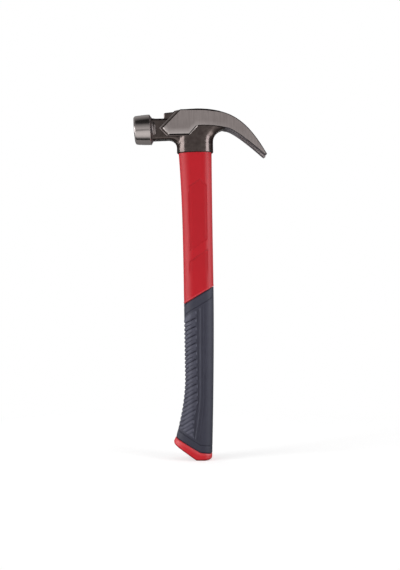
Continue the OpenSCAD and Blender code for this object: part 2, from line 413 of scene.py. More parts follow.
groundLook = dict(
    dark=rgb(0.31, 0.265, 0.255), light=rgb(0.46, 0.40, 0.385),
    layers=[
        (((2600, 130, 130), 3, 0.6), (0.3, 0.16, 1)),  # fine lines down the cheeks
        (((800, 150, 50), 2), (0.4, 0, 0)),  # streaks
        ((60, 3), (0.3, 0, 0)),  # clouds
    ],
    tone=[(0.35, 0), (0.65, 1)], rough=0.30, bump=(0.12, 0.05), shader={"Metallic": 1},
    worn=rgb(0.70, 0.63, 0.61),  # painted highlight and wear, bright above the cheeks' lower edges
    wornUp=[(0, 1), (2.1, 0.62), (6, 0)],  # by height above the edge
    wornAlong=[(-31, 0.7), (-25, 1), (-7, 1), (0, 0.6), (14, 0.5), (30, 0.16), (70, 0.12)],
)


# paints a highlight, with wear, along the lower edges of the cheeks and the claw
def wornEdgeSheen(sheet, look):
    spot = sheet.place()
    x, z = sheet.axis(spot, "X"), sheet.axis(spot, "Z")
    edge = headLook["cheek"][1:] + clawCurves()[1][::4]  # the cheek's lower edge, then the claw's
    lowest = min(h for px, h in edge)
    edgeUp = sheet.graph(x, [(px, h - lowest) for px, h in edge])
    above = z - (seat + lowest) * mm - edgeUp * mm
    worn = sheet.graph(above, look["wornUp"]) * sheet.graph(x, look["wornAlong"])
    return [(worn, look["worn"], 0)]


polishedLook = dict(
    dark=rgb(0.41, 0.365, 0.352), light=rgb(0.545, 0.49, 0.472),
    layers=[
        (((2200, 60, 60), 3, 0.6), (0.6, 0.06, 1)),  # turning lines round the poll
        ((160, 3, 0.5), (0.4, 0.04, 0)),  # scuffs
    ],
    rough=0.09, bump=(0.03, 0.05), shader={"Metallic": 1},
)

forgedLook = dict(
    dark=rgb(0.075, 0.058, 0.054), light=rgb(0.135, 0.110, 0.102),
    layers=[((260, 6, 0.6), (1, 0.14, 0.5)), ((1100, 3), (0, 0, 0.5))],  # patches and grit
    tone=[(0.3, 0), (0.75, 1)], rough=0.16, bump=(0.14, 0.1),
    shader={"Metallic": 1, "Specular Tint": rgb(0.35, 0.33, 0.33)},  # dull at a grazing angle
)

shadowLineLook = dict(  # painted shade: a near-black steel on the bevels, for their shadow lines
    forgedLook,
    dark=rgb(0.012, 0.011, 0.011), light=rgb(0.030, 0.027, 0.026), rough=0.3,
)

shoulderLook = dict(
    forgedLook,
    dark=rgb(0.17, 0.143, 0.137), light=rgb(0.21, 0.177, 0.169), rough=0.28, bump=(0.02, 0.1),
    shader={"Metallic": 1, "Specular Tint": rgb(0.62, 0.58, 0.62)},
    root=rgb(0.055, 0.045, 0.045),  # painted shade: darker and smoother where the claw's belly starts, by X
    rootShade=[(0, 0), (7, 1), (28, 1), (52.5, 0)], rootSmooth=0.5,
)


# painted shade under the claw, where its belly leaves the web
def bellyRoot(sheet, look):
    shade = sheet.graph(sheet.axis(sheet.place(), "X"), look["rootShade"])
    return [(shade, look["root"], look["rootSmooth"])]


jacketRed = dict(
    dark=rgb(0.47, 0.003, 0.010), light=rgb(0.53, 0.006, 0.016),
    layers=[((45, 3), (1, 0.08, 0)), ((1500, 2), (0, 0.08, 1))],  # clouds and grain
    rough=0.46, bump=(0.05, 0.05), shader={"Specular IOR Level": 0.34},
    # a painted highlight on the lower lip, and painted shade in the panels' creases and at the
    # lower end
    worn=rgb(0.72, 0.085, 0.10), crease=rgb(0.25, 0.002, 0.006),
)

# the jacket's red made lighter for the cap: painted light
capRedLit = dict(
    jacketRed,
    dark=rgb(0.58, 0.005, 0.012), light=rgb(0.66, 0.010, 0.020), rough=0.40,
    shader={"Specular IOR Level": 0.5},
)


# painted highlight and painted shade, read from the points' marks
def sheenAndShade(sheet, look):
    return [(sheet.mark(name), look[name], 0) for name in ("worn", "crease")]


rubberLook = dict(
    dark=rgb(0.020, 0.020, 0.034),  # painted shade in the grooves
    light=rgb(0.118, 0.118, 0.160),  # painted highlight on the ridges
    layers=[((90, 4), (0.2, 0, 0)), ((1300, 2), (0, 0.12, 1))],  # clouds and grain
    plain=0.13,  # part of the light colour where nothing is painted lit or shaded
    # how strongly the painted highlight and shade show
    rubbed=0.55, rough=0.58, bump=(0.12, 0.06), shader={"Specular IOR Level": 0.3},
)

# pieces inside, which keep their construction shape
insideLooks = dict(
    eye_resin=dict(
        finish="amberResin", dark=rgb(0.20, 0.115, 0.03), light=rgb(0.34, 0.21, 0.06),
        layers=[((180, 4), (1, 0.2, 1))], rough=0.25, bump=(0.2, 0.3), shader={},
    ),
    fibreglass_rod=dict(
        finish="glassFibre", dark=rgb(0.45, 0.40, 0.20), light=rgb(0.62, 0.57, 0.34),
        layers=[(((2400, 2400, 60), 3), (1, 0.2, 1))], rough=0.35, bump=(0.15, 0.05), shader={},
    ),
    starter_magnet=dict(
        finish="nickelPlate", dark=rgb(0.55, 0.53, 0.50), light=rgb(0.70, 0.68, 0.64),
        layers=[((900, 4), (1, 0.25, 0))], rough=0.15, shader={"Metallic": 1},
    ),
)


# Handle section: the same reaches as the construction

handle = dict(
    waist=(14.3, 15.5, 11.8),  # reach in front, reach behind, half thickness
    top=(17.1, 15.9, 11.8), swellStart=90, swellPower=3, gripSwell=1.4, buttFlare=12.3,
    buttTuck=4.1, buttSwell=2.0, flareStart=-5, flarePower=1.85, tuckPower=1.6,
    corner=(11, 8.5, 9.6),  # rounding of the section in front, behind and across
    cornerGrow=0.35,  # the front's rounding grows with its reach
    cornerLeast=1, endCrown=0.03, gripTop=74.4, gripSlope=tan(radians(30)), wall=2.6,
    capEdge=(-65.8, -80.5, -82.3),  # sleeve's lower edge: front, corner, back
    capFloor=(-72.4, -88.3, -88.8), capKink=-0.5, floorKink=-4.5, tenon=3, sideSteps=36,
    cornerSteps=22, endSteps=4,
)
gripEdge = (
    handle["gripTop"] - handle["waist"][0] * handle["gripSlope"],
    handle["gripTop"],
    handle["gripTop"] + handle["waist"][1] * handle["gripSlope"],
)


def swell(z, which):
    t = share(z, handle["swellStart"], seat) ** handle["swellPower"]
    return mix(handle["waist"][which], handle["top"][which], t)


def flare(z, corner):
    return share(z, handle["flareStart"], handle["capFloor"][corner]) ** handle["flarePower"]


def frontReach(z):
    return swell(z, 0) + handle["buttFlare"] * flare(z, 0)


def backReach(z):
    tuck = share(z, gripEdge[2], handle["capEdge"][2]) ** handle["tuckPower"]
    return swell(z, 1) - handle["buttTuck"] * tuck


def halfDepth(z):
    grip = handle["gripSwell"] * min(1, share(z, handle["gripTop"], 0))
    return swell(z, 2) + grip + handle["buttSwell"] * flare(z, 1)


def frontCorner(front):
    return handle["corner"][0] + handle["cornerGrow"] * (front - handle["waist"][0])


# rounded section, from the back's middle by the far side to the front and back
def section(front, back, half, corners, inset=0):
    frontX, backX, cornerY = (max(c - inset, handle["cornerLeast"]) for c in corners)
    front, back, half = front - inset, back - inset, half - inset
    flat = half - cornerY
    far, near = back - backX, -front + frontX
    ends, sides = handle["endSteps"], handle["sideSteps"]
    turns = [radians(a) for a in evenly(handle["cornerSteps"], 90)[:-1]]
    top = [(back, y) for y in evenly(ends, flat)[:-1]]
    top += [(far + backX * cos(a), flat + cornerY * sin(a)) for a in turns]
    top += [(mix(far, near, t), half) for t in evenly(sides)[:-1]]
    top += [(near - frontX * sin(a), flat + cornerY * cos(a)) for a in turns]
    top += [(-front, flat * (1 - t)) for t in evenly(ends)[:-1]]
    ring = top + [(-front, 0)] + [(x, -y) for x, y in top[:0:-1]]
    return [(x * (1 - handle["endCrown"] * (y / half) ** 2), y) for x, y in ring]


def handleSection(front, back, half, inset=0):
    return section(front, back, half, (frontCorner(front),) + handle["corner"][1:], inset)


def kinked(x, front, back, heights, kink=handle["capKink"]):
    if x < kink:
        return mix(heights[0], heights[1], (x + front) / (kink + front))
    return mix(heights[1], heights[2], (x - kink) / (back - kink))


# ring of the handle at three heights: front, middle and back
def handleRing(heights, inset=0):
    front, back = frontReach(heights[0]), backReach(heights[2])
    outline = handleSection(front, back, halfDepth(heights[1]), inset)
    return [(x, y, kinked(x, front, back, heights)) for x, y in outline]


def sleeveHeights(t):
    return mixAll(handle["capEdge"], gripEdge, t)


# the jacket under the sleeve, and its tenon in the cap
def underSleeve(rows):
    return [handleRing(sleeveHeights(t), handle["wall"]) for t in evenly(rows)]


def tenonEnd(ring):
    return [(x, y, z - handle["tenon"]) for x, y, z in ring]


# Red jacket with the two sunk panels on each side

jacketLook = dict(
    rows=250, hiddenRows=12, sharp=40, rod=(9, 9, 6.5), rodCorner=(4.5, 4.5, 4.5), rodDrop=-45,
    upperPanel=[(-7.3, 118.7), (10, 130.3), (10, 183.1), (3.8, 189.9), (-7.3, 182.4)],
    lowerPanel=[(-8, 80), (10, 80), (10, 119.9), (-8, 107.9)], lowerFade=(106, 92),
    # the sunk panels and their edges get painted shade
    panelDepth=0.6, panelEdge=0.9, panelShade=0.12, creaseHalf=0.55, creaseShade=0.26,
    sideReach=(2.4, 1.2),  # panels fade out where the side turns away
    lipRows=12,
    lipReach=2.4,  # the lip's rows lie in this much of the lower end
    # lipSheen is a painted highlight along the lip
    lipHigh=0.3, lipPlace=1.0, lipHalf=0.5, lipSheen=0.6,
    edgeDrop=0.5,  # the lower end is rounded in against the sleeve
    # that rounded end gets painted shade
    edgeHalf=0.4, lowEndShade=0.9,
)


# how far the surface is sunk, and the painted shade at and inside a panel's edge
def jacketSink(x, z):
    look = jacketLook
    deep = crease = 0
    for name in ("upperPanel", "lowerPanel"):
        distance = edgeDistance((x, z), look[name])
        fade = 1 - ease(z, look["lowerFade"]) if name == "lowerPanel" else 1
        deep = max(deep, smooth(0.5 - distance / look["panelEdge"]) * fade)
        crease = max(crease, valley(distance, look["creaseHalf"]) * fade)
    return deep * look["panelDepth"], max(crease * look["creaseShade"], deep * look["panelShade"])


# a ring's points with the panels and the lower lip, and their painted shade and highlight
def sinkSides(ring, start):
    look = jacketLook
    sunk, paintedShades, worn = [], [], []
    half = max(p[1] for p in ring)
    far, fade = look["sideReach"]
    for (x, y, z), low in zip(ring, start):
        side = smooth((abs(y) - half + far) / fade)
        deep, crease = jacketSink(x, z) if side else (0, 0)
        above = (z - low[2]) * cos(atan(handle["gripSlope"]))
        edge = valley(above, look["edgeHalf"])
        lip = valley(above - look["lipPlace"], look["lipHalf"])
        scale = 1 + (look["lipHigh"] * lip - look["edgeDrop"] * edge) / hypot(x, y)
        sunk.append((x * scale, y * scale - copysign(deep * side, y), z))
        paintedShades.append(max(crease * side, look["lowEndShade"] * edge))
        worn.append(look["lipSheen"] * lip)
    return sunk, paintedShades, worn


def makeJacket():
    look = jacketLook
    lip = look["lipReach"] / (seat - handle["gripTop"])
    heights = evenly(look["lipRows"], lip)[:-1]
    heights += [mix(lip, 1, t) for t in evenly(look["rows"])]
    start, top = handleRing(gripEdge), (seat,) * 3
    rows = [sinkSides(handleRing(mixAll(gripEdge, top, t)), start) for t in heights]
    shown, paintedShades, worn = (list(column) for column in zip(*rows))
    inner = underSleeve(look["hiddenRows"])
    hole = section(*look["rod"], look["rodCorner"])
    bore = [[(x, y, z) for x, y in hole] for z in (seat, look["rodDrop"])]
    jacket = rollUp("redJacket", [tenonEnd(inner[0])] + inner + shown + bore)
    markPoints(jacket, "crease", shown, paintedShades)
    markPoints(jacket, "worn", shown, worn)
    wear(jacket, [mixFinish("jacketRed", jacketRed, sheenAndShade)])
    hangOn(jacket, look["sharp"], "handle_jacket")


# Grip sleeve with slanted ribs in front and a bead between ribs and plain back

gripLook = dict(
    rows=500, innerRows=10, sharp=50,
    bandDrop=10.2,  # plain band under the slanted top edge
    lowerBand=7.4,  # plain band above the cap
    bandFade=(1.5, 2),  # the pattern starts this far inside the bands, over this length
    lineDepth=0.35,  # lines between the bands and the pattern
    # lineDark is painted shade in those lines
    lineHalf=0.45, lineDark=0.4,
    edgeDrop=0.7,  # both ends are rounded over
    edgeHalf=0.6,
    ribTop=52.2,  # height of the first groove at its back end
    ribPitch=8.1, ribCount=14,
    ribSlope=(0.47, 0.58),  # at the upper and lower ends
    ribSpan=(45, -50), ribEnd=-3.3,
    ribTaper=(4.2, -28, -50),  # how far, from where to where the ribs draw back to the front
    ribHigh=0.3, ribCrown=0.12, ribFade=0.8,
    ribDim=0.4,  # how much painted highlight the ribs keep at their back ends
    dimSpan=(-6, -10),
    grooveHalf=(0.52, 0.8),  # between the ribs: at the side, and round the front
    # grooveDark and hairDark are painted shade in the grooves
    grooveDepth=(0.8, 1.1), grooveDark=1.0,
    hairHalf=(0.42, 0.8),  # fine groove along each rib's middle, in front only
    hairDepth=(0.6, 1.1), hairDark=0.9, hairSpan=(-5, -8), noseSpan=(-6.7, -11.7),
    noseFlat=-11.7,  # from this far round the corner on they run level
    backDark=0.28,  # painted shade along the back
    backTurn=(0.55, 0.85),
    sideTurn=0.8,  # what faces the side more than this has the bead and the studs
    beadX=(0.6, 0.0175), beadTaper=(4.0, -25, -63), beadPower=1.5, beadHalf=0.28,
    studX=0.7,  # short studs beside the ribs' ends
    studHalf=0.42, studPhase=0.35,
    troughHalf=0.7,  # shallow trough between the ribs' ends and the bead
    behind=[(2.1, 0.7), (4.6, 0.6)],  # groove and faint line behind the bead: how far, how wide
    # of bead, studs, trough, groove and line: how high, and their painted highlight or shade
    sideHigh=(0.5, 0.55, -0.32, -0.25, -0.25), sideLight=(0.6, 1.4, -0.25, -0.2, -0.2),
)


# the sleeve's relief and its painted light (-1 shaded, 1 lit); w is X unrolled round the front
def gripRelief(x, w, z, onSide, front, back):
    look, slope = gripLook, handle["gripSlope"]
    steep = cos(atan(slope))
    underTop = (handle["gripTop"] + w * slope - z) * steep
    aboveCap = (z - kinked(clamp(x, -front, back), front, back, handle["capEdge"])) * steep
    bands = (underTop - look["bandDrop"] * steep, aboveCap - look["lowerBand"] * steep)
    line = sum(valley(b, look["lineHalf"]) for b in bands)
    edge = valley(underTop, look["edgeHalf"]) + valley(aboveCap, look["edgeHalf"])
    relief = -look["lineDepth"] * line - look["edgeDrop"] * edge
    rubbed = -look["lineDark"] * line - edge
    wait, fade = look["bandFade"]
    inside = smooth((bands[0] - wait) / fade) * smooth((bands[1] - wait) / fade)
    far, *span = look["ribTaper"]
    ribEnd = look["ribEnd"] - far * ease(z, span)
    ribbed = inside * smooth((ribEnd - w) / look["ribFade"] + 0.5)
    lean = mix(*look["ribSlope"], min(1, share(z, *look["ribSpan"])))
    turn = w + front - frontCorner(front)
    run = w - look["ribEnd"] - min(0, turn - look["noseFlat"])
    phase = (look["ribTop"] + run * lean - z) / look["ribPitch"]
    if ribbed:
        ribs, pitch = look["ribCount"], look["ribPitch"] * steep
        nose = ease(turn, look["noseSpan"])
        nearest = clamp(round(phase), 0, ribs - 1)
        middle = clamp(round(phase + 0.5) - 0.5, 0.5, ribs - 0.5)
        groove = valley((phase - nearest) * pitch, mix(*look["grooveHalf"], nose))
        hair = valley((phase - middle) * pitch, mix(*look["hairHalf"], nose))
        hair *= ease(w, look["hairSpan"])
        crown = cos(2 * pi * (phase - 0.5)) if -0.5 < phase < ribs - 0.5 else 0
        high = look["ribHigh"] + look["ribCrown"] * crown * (1 - nose)
        high -= mix(*look["grooveDepth"], nose) * groove + mix(*look["hairDepth"], nose) * hair
        light = mix(look["ribDim"], 1, ease(w, look["dimSpan"]))
        relief += ribbed * high
        rubbed += ribbed * (light - look["grooveDark"] * groove - look["hairDark"] * hair)
    if onSide:
        far, *span = look["beadTaper"]
        beadX = look["beadX"][0] + look["beadX"][1] * z
        beadX -= far * share(z, *span) ** look["beadPower"]
        stud = smooth(cos(2 * pi * (phase - look["studPhase"])))
        stud *= valley(x - ribEnd - look["studX"], look["studHalf"])
        trough = valley(x - (ribEnd + beadX) / 2, look["troughHalf"])
        shapes = [valley(x - beadX, look["beadHalf"]), stud, trough]
        shapes += [valley(x - beadX - away, half) for away, half in look["behind"]]
        relief += inside * sum(s * high for s, high in zip(shapes, look["sideHigh"]))
        rubbed += inside * sum(s * light for s, light in zip(shapes, look["sideLight"]))
    return relief, clamp(rubbed, -1, 1)


def gripRings(t):
    heights = sleeveHeights(t)
    ring = handleRing(heights)
    front, back = frontReach(heights[0]), backReach(heights[2])
    count = len(ring)
    middle = count // 2  # the front's middle
    flatStart = -front + frontCorner(front)
    length = 0
    unrolled = [0] * count
    for k in range(1, middle + 1):  # both sides alike, from the front's middle backwards
        a, b = ring[middle - k + 1], ring[middle - k]
        length += hypot(b[0] - a[0], b[1] - a[1])
        unrolled[middle - k] = length
        if k < middle:
            unrolled[middle + k] = length
    cornerLength = min(unrolled[k] for k in range(middle) if ring[k][0] >= flatStart)
    raised, marks = [], []
    for k, (x, y, z) in enumerate(ring):
        w = flatStart + unrolled[k] - cornerLength
        before, after = ring[k - 1], ring[(k + 1) % count]
        out = Vector((before[1] - after[1], after[0] - before[0], 0)).normalized()
        if out.x * x + out.y * y < 0:
            out = -out
        onSide = abs(out.y) > gripLook["sideTurn"]
        relief, rubbed = gripRelief(x, w, z, onSide, front, back)
        raised.append((x + out.x * relief, y + out.y * relief, z))
        # painted shade where the sleeve faces back
        marks.append(rubbed - gripLook["backDark"] * ease(out.x, gripLook["backTurn"]))
    return raised, marks


def makeGrip():
    look = gripLook
    shown, marks = (list(column) for column in zip(*map(gripRings, evenly(look["rows"]))))
    grip = rollUp("gripSleeve", shown + underSleeve(look["innerRows"])[::-1] + shown[:1])
    markPoints(grip, "rubbed", shown, marks)
    wear(grip, [mixFinish("gripRubber", rubberLook)])
    hangOn(grip, look["sharp"], "grip_sleeve")


# Butt cap

capLook = dict(
    round=2.2, roundSteps=8, wallRows=16, sharp=40,
    edgeShade=1.0,  # painted shade on the lowest and the upper edge
    lowShade=(0.3, 1), highShade=(0.9, 1),
    lip=0.7,  # the upper edge is drawn in this far
    lipStart=0.62, lipPower=2,
    worn=0.45,  # painted highlight on the wall between these parts of its height
    sheenSpan=(0.3, 0.8),
    backRound=(2.6, 1.5),  # rounder at the back: further in, and times as high
)


def makeCap():
    look, floor = capLook, handle["capFloor"]
    r = look["round"]
    front, back, half = frontReach(floor[0]), backReach(floor[2] + r), halfDepth(floor[1] + r)
    further, higher = look["backRound"]
    rings, paintedShades, worn = [], [], []

    def lay(ring, crease, rubbed):
        rings.append(ring)
        paintedShades.append([look["edgeShade"] * crease] * len(ring))
        worn.append([look["worn"] * rubbed] * len(ring))

    for t in evenly(look["roundSteps"]):
        a = radians(90 * t)
        inset, lift = 1 - sin(a), r * (1 - cos(a))
        heights = tuple(z + lift for z in floor)
        ring = []
        for x, y in handleSection(front, back, half, r * inset):
            z = kinked(x, front, back, heights, handle["floorKink"])
            behind = ease(x, (0, back))
            ring.append((x - behind * further * inset, y, z + behind * (higher - 1) * lift))
        lay(ring, 1 - ease(t, look["lowShade"]), 0)
    lower, upper = rings[-1], handleRing(handle["capEdge"])
    drawnIn = handleRing(handle["capEdge"], look["lip"])
    for t in evenly(look["wallRows"])[1:]:
        lip = share(t, look["lipStart"], 1) ** look["lipPower"]
        edge = [mixAll(p, q, lip) for p, q in zip(upper, drawnIn)]
        ring = [mixAll(p, q, t) for p, q in zip(lower, edge)]
        lay(ring, ease(t, look["highShade"]), ease(t, look["sheenSpan"]))
    recess = handleRing(handle["capEdge"], handle["wall"])
    cap = rollUp("buttCap", rings + [recess, tenonEnd(recess)])
    markPoints(cap, "crease", rings, paintedShades)
    markPoints(cap, "worn", rings, worn)
    wear(cap, [mixFinish("capRedLit", capRedLit, sheenAndShade)])
    hangOn(cap, look["sharp"], "butt_cap")


# Hammer head: heights are above the seat

ground, forged, polished, shoulder, scale = range(5)  # places of its finishes; scale is the painted shade

headLook = dict(
    sharp=26, merge=0.01,
    cheek=[(-14.2, 41.4), (-31.3, 24.4), (-25.5, 18.1), (-6.5, 18.1), (0.8, 25.8)],
    cheekBevel=[0.75, 1.1, 1.2, 1.5], cheekDrop=[0.9, 0.9, 1.1, 1.3, 1.1], cheekDepth=14.2,
    underPull=[(11, 26.6), (22, 25.2)],  # cheek's edge between the boss and the belly
    underSteps=8, crown=(1, 42.85), crownBevel=0.9,
    dome=1.0,  # the crown is higher in the middle than along the cheeks
    domeSpan=(-14, -6, 16, 34), domeDepth=12.6, tip=(70.2, -3.3), tipThick=2.0, tipAngle=60.5,
    backPull=(37, 34.5),  # how far the curves run straight at their two ends
    backSteps=28, clawBevel=0.8,
    crotch=(29.8, 11),  # the belly starts on top of this round
    crotchRadius=12.3, bellyPull=(7.5, 14), bellyLean=42, bellySteps=22, bellyStart=27,
    bellyBevel=0.45,
    facet=(0.6, 0.42),  # width and drop of a bevel's first facet
    flare=1.75,  # the prongs spread towards their tips
    flareStart=24, flarePower=1.3, flareCuts=(4, 70, 6),
    # how far a face's normal points sideways or up, which decides its finish
    turned=dict(flat=0.95, bevel=0.3, facet=0.75, level=0.84, under=-0.2),
)


def clawDepth(x):
    look = headLook
    spread = share(x, look["flareStart"], look["tip"][0]) ** look["flarePower"]
    return look["cheekDepth"] + look["flare"] * spread


# puts an outline at one depth, or each point at its own
def standing(points, depth):
    depths = depth if isinstance(depth, list) else [depth] * len(points)
    return [(x, y, seat + h) for (x, h), y in zip(points, depths)]


def clawCurves():
    look, tip = headLook, headLook["tip"]

    def bend(start, end, angle, pulls, steps):
        a = radians(angle)
        leave = (start[0] + pulls[0], start[1])
        arrive = (end[0] - pulls[1] * cos(a), end[1] + pulls[1] * sin(a))
        return curve(start, leave, arrive, end, steps)

    turn, thick = radians(look["tipAngle"]), look["tipThick"]
    heel = (tip[0] - thick * sin(turn), tip[1] - thick * cos(turn))
    top = (look["crotch"][0], look["crotch"][1] + look["crotchRadius"])
    back = bend(look["crown"], tip, look["tipAngle"], look["backPull"], look["backSteps"])
    return back, bend(top, heel, look["bellyLean"], look["bellyPull"], look["bellySteps"])


def dome(x):
    span = headLook["domeSpan"]
    return headLook["dome"] * ease(x, span[:2]) * (1 - ease(x, span[2:]))


# ground cheeks and claw in one plate, with a chamfer all round
def makePlate():
    look, cheek = headLook, headLook["cheek"]
    back, belly = clawCurves()
    under = curve(cheek[-1], *look["underPull"], belly[0], look["underSteps"])
    rim = under[1:-1] + belly + back[::-1]
    plain = len(rim) - len(back)
    bevels = [look["bellyBevel"]] * plain + [look["clawBevel"]] * len(back)
    # cheek corners lie on the near face, the claw's lines on the silhouette
    shrink = [0] * (len(cheek) - 1) + [-b for b in bevels] + [-look["crownBevel"]]
    inner = cheek + grow(cheek + rim, shrink)[len(cheek):]
    rises = [0] * (len(cheek) + plain) + [dome(x) for x, h in inner[-len(back):]]
    inner = [(x, h - rise) for (x, h), rise in zip(inner, rises)]
    widths = look["cheekBevel"] + bevels + [look["crownBevel"]]
    drops = look["cheekDrop"] + bevels
    face = [clawDepth(x) for x, h in inner]
    near = [standing(inner, [-y for y in face])]
    for wide, low in (look["facet"], (1, 1)):
        outer = grow(inner, [w * wide for w in widths])
        near.append(standing(outer, [d * low - y for y, d in zip(face, drops)]))
    domed = [(x, h + rise) for (x, h), rise in zip(outer, rises)]
    plate = loftBothSides("plate", near + [standing(domed, -look["domeDepth"])])
    for x in range(*look["flareCuts"]):  # lets the sides bend outwards along the claw
        cutAcross(plate, (x, 0, 0), (1, 0, 0))
    return plate


# ground cheeks, painted shade on most bevels, the forging's skin on the claw's back and belly
def plateFinish(face):
    x, up, flat = face.center.x / mm, face.normal.z, abs(face.normal.y)
    low, corner, rise = (headLook["cheek"][k][0] for k in (2, 3, 4))
    turned = headLook["turned"]
    under = up < turned["under"]
    if flat > turned["flat"]:
        return ground
    if flat > turned["bevel"]:
        if under and corner < x < rise:
            return scale if flat > turned["facet"] else ground
        return ground if up < 0 and x < low else forged if up > turned["level"] else scale
    return shoulder if under and x > headLook["bellyStart"] else forged


bossLook = dict(  # forged boss that the cheek panel stands on
    outline=[(-18.1, 41.5), (-35.7, 24.1), (-27.9, 15.8), (-6.3, 16.6), (0, 24), (-8, 42)],
    depth=13.1, edge=0.9, drop=0.8,
    worn=(0.2, 0.95),  # its edge, which faces the side by this much, is worn
)

blockLook = dict(  # stepped block on the neck that holds a nail to be started
    outline=[
        (-31, 26), (-14, 26), (-14, 43.0), (-20.3, 41.8), (-21.5, 40.6), (-30.1, 39.8), (-31, 38.8),
    ],
    depth=8.4, edge=0.8, drop=0.8,
)


def chamferedSlab(name, look):
    outline, depth = look["outline"], look["depth"]
    inner = grow(outline, [-look["edge"]] * len(outline))
    return loftBothSides(name, [standing(inner, -depth), standing(outline, look["drop"] - depth)])


def bossFinish(face):
    low, high = bossLook["worn"]
    if low < abs(face.normal.y) < high:
        return ground if face.normal.z > 0 else shoulder
    return forged


forgingLook = dict(
    socket=(-18.7, 17.5), socketDepth=13.0, socketRound=12.6,
    socketEnd=-10,  # cut off at the seat later
    lowEdge=0.7,  # chamfer round the socket's lower edge
    crotchSteps=30, webRound=5.0,
    webSlim=0.07,  # the web under the claw is this part thinner
    webSpan=(10, 30), underPlate=[(34, 26), (4, 36), (-12, 38)], neck=(13.4, 34.5),
    neckStart=-48,
    neckRun=24,  # the neck runs this far into the socket
    neckDepth=9.2, neckRound=2.2, throat=(-27.2, 5.5), throatRadius=8.5, throatRound=8.8,
    throatSteps=24, roundSteps=14,
    grain=0.55,  # size of the forging's faces
    smoothing=(0.5, 12),
)


# a loft through an outline whose edges are rounded, each point with its own radius
def roundedSlab(name, outline, rounds, depth):
    edges = [(a + b) / 2 for a, b in zip(rounds, rounds[1:] + rounds[:1])]
    near = []
    for turn in evenly(forgingLook["roundSteps"], 90):
        a = radians(turn)
        ring = grow(outline, [-r * (1 - sin(a)) for r in edges])
        near.append(standing(ring, [r * (1 - cos(a)) - depth for r in rounds]))
    return loftBothSides(name, near)


# socket with the web under the claw, then the neck with the throat's fillet
def makeForging():
    look = forgingLook
    left, right = look["socket"]
    low, high = look["neck"]
    start, inside, end = look["neckStart"], left + look["neckRun"], look["socketEnd"]
    full, thin, fillet = look["socketRound"], look["neckRound"], look["throatRound"]

    def growing(first, second, points):
        return [mix(first, second, smooth(t)) for t in evenly(len(points) - 1)]

    crotch = arc(headLook["crotch"], headLook["crotchRadius"], 180, 90, look["crotchSteps"])
    outline = [(left, high), (left, end), (right, end)] + crotch + look["underPlate"]
    web = growing(full, look["webRound"], crotch)
    rounds = [full] * 3 + web + [thin] * len(look["underPlate"])
    forging = roundedSlab("forging", outline, rounds, look["socketDepth"])
    throat = arc(look["throat"], look["throatRadius"], 90, 0, look["throatSteps"])
    outline = [(start, low)] + throat + [(inside, throat[-1][1]), (inside, high), (start, high)]
    rounds = [thin] + growing(thin, fillet, throat) + [fillet, thin, thin]
    combine(forging, roundedSlab("neck", outline, rounds, look["neckDepth"]), "UNION")
    applyStep(forging, "REMESH", mode="VOXEL", voxel_size=look["grain"] * mm)
    factor, times = look["smoothing"]
    applyStep(forging, "SMOOTH", factor=factor, iterations=times)
    for height, trim in ((look["lowEdge"], False), (0, True)):
        cutAcross(forging, (0, 0, seat + height), (0, 0, 1), trim)
    for vert in forging.data.vertices:
        vert.co.y *= 1 - look["webSlim"] * ease(vert.co.x / mm, look["webSpan"])
        drawn = 1 - (vert.co.z / mm - seat) / look["lowEdge"]
        if drawn > 0:
            inward = Vector((vert.co.x, vert.co.y, 0)).normalized()
            vert.co -= inward * drawn * look["lowEdge"] * mm
    return forging


pollLook = dict(
    start=(-44, 0, seat + 24.5), reach=17.2, tilt=1.9, faceTilt=3.4, steps=96,
    # distance behind the striking face's middle, and radius
    profile=[
        (0.05, 4), (0.2, 8.5), (0.32, 11.3), (0.42, 12.5), (0.55, 12.75), (1.2, 13.65),
        (1.55, 13.88), (2.8, 14.25), (9, 14.8), (15.6, 15.15), (16.2, 15.1), (16.65, 14.85),
        (17.5, 13.3), (18.3, 12.2), (18.8, 11.6), (19.2, 11.3), (21, 11.1), (21.6, 10.75),
        (22, 10.2), (22.3, 9),
    ],
    skin=(16.4, 22.3),  # where the turned part and the collar end
)


def makePoll():
    look = pollLook
    tilt, lean = radians(look["tilt"]), radians(look["faceTilt"])
    axis = Vector((-cos(tilt), 0, -sin(tilt)))
    up, side = Vector((-sin(lean), 0, cos(lean))), Vector((0, 1, 0))
    turns = evenly(look["steps"], 2 * pi)[:-1]
    rings = []
    for back, radius in look["profile"]:
        middle = Vector(look["start"]) + axis * (look["reach"] - back)
        rings.append([middle + radius * (up * cos(a) + side * sin(a)) for a in turns])
    return loft("poll", rings)


def pollFinish(face):
    rim, collar = pollLook["skin"]
    lean = radians(pollLook["faceTilt"])
    away = face.center / mm - Vector(pollLook["start"])
    back = pollLook["reach"] + away.dot(Vector((cos(lean), 0, sin(lean))))
    return polished if back < rim else shoulder if back < collar else forged


slotLook = dict(
    stations=12, root=27, rootHalf=0.9, rootHeight=31.5, startHalf=0.3, tipHalf=4.8,
    tipDrop=0.6,
    past=1.05,  # how far beyond the tip it still falls
    fall=1.9,  # power of the way down to the tip
    lean=0.9,  # part of the tip's angle
    reach=(15, 7),  # at the root and at the tip
    slope=tan(radians(9)), thinnest=0.35,
)


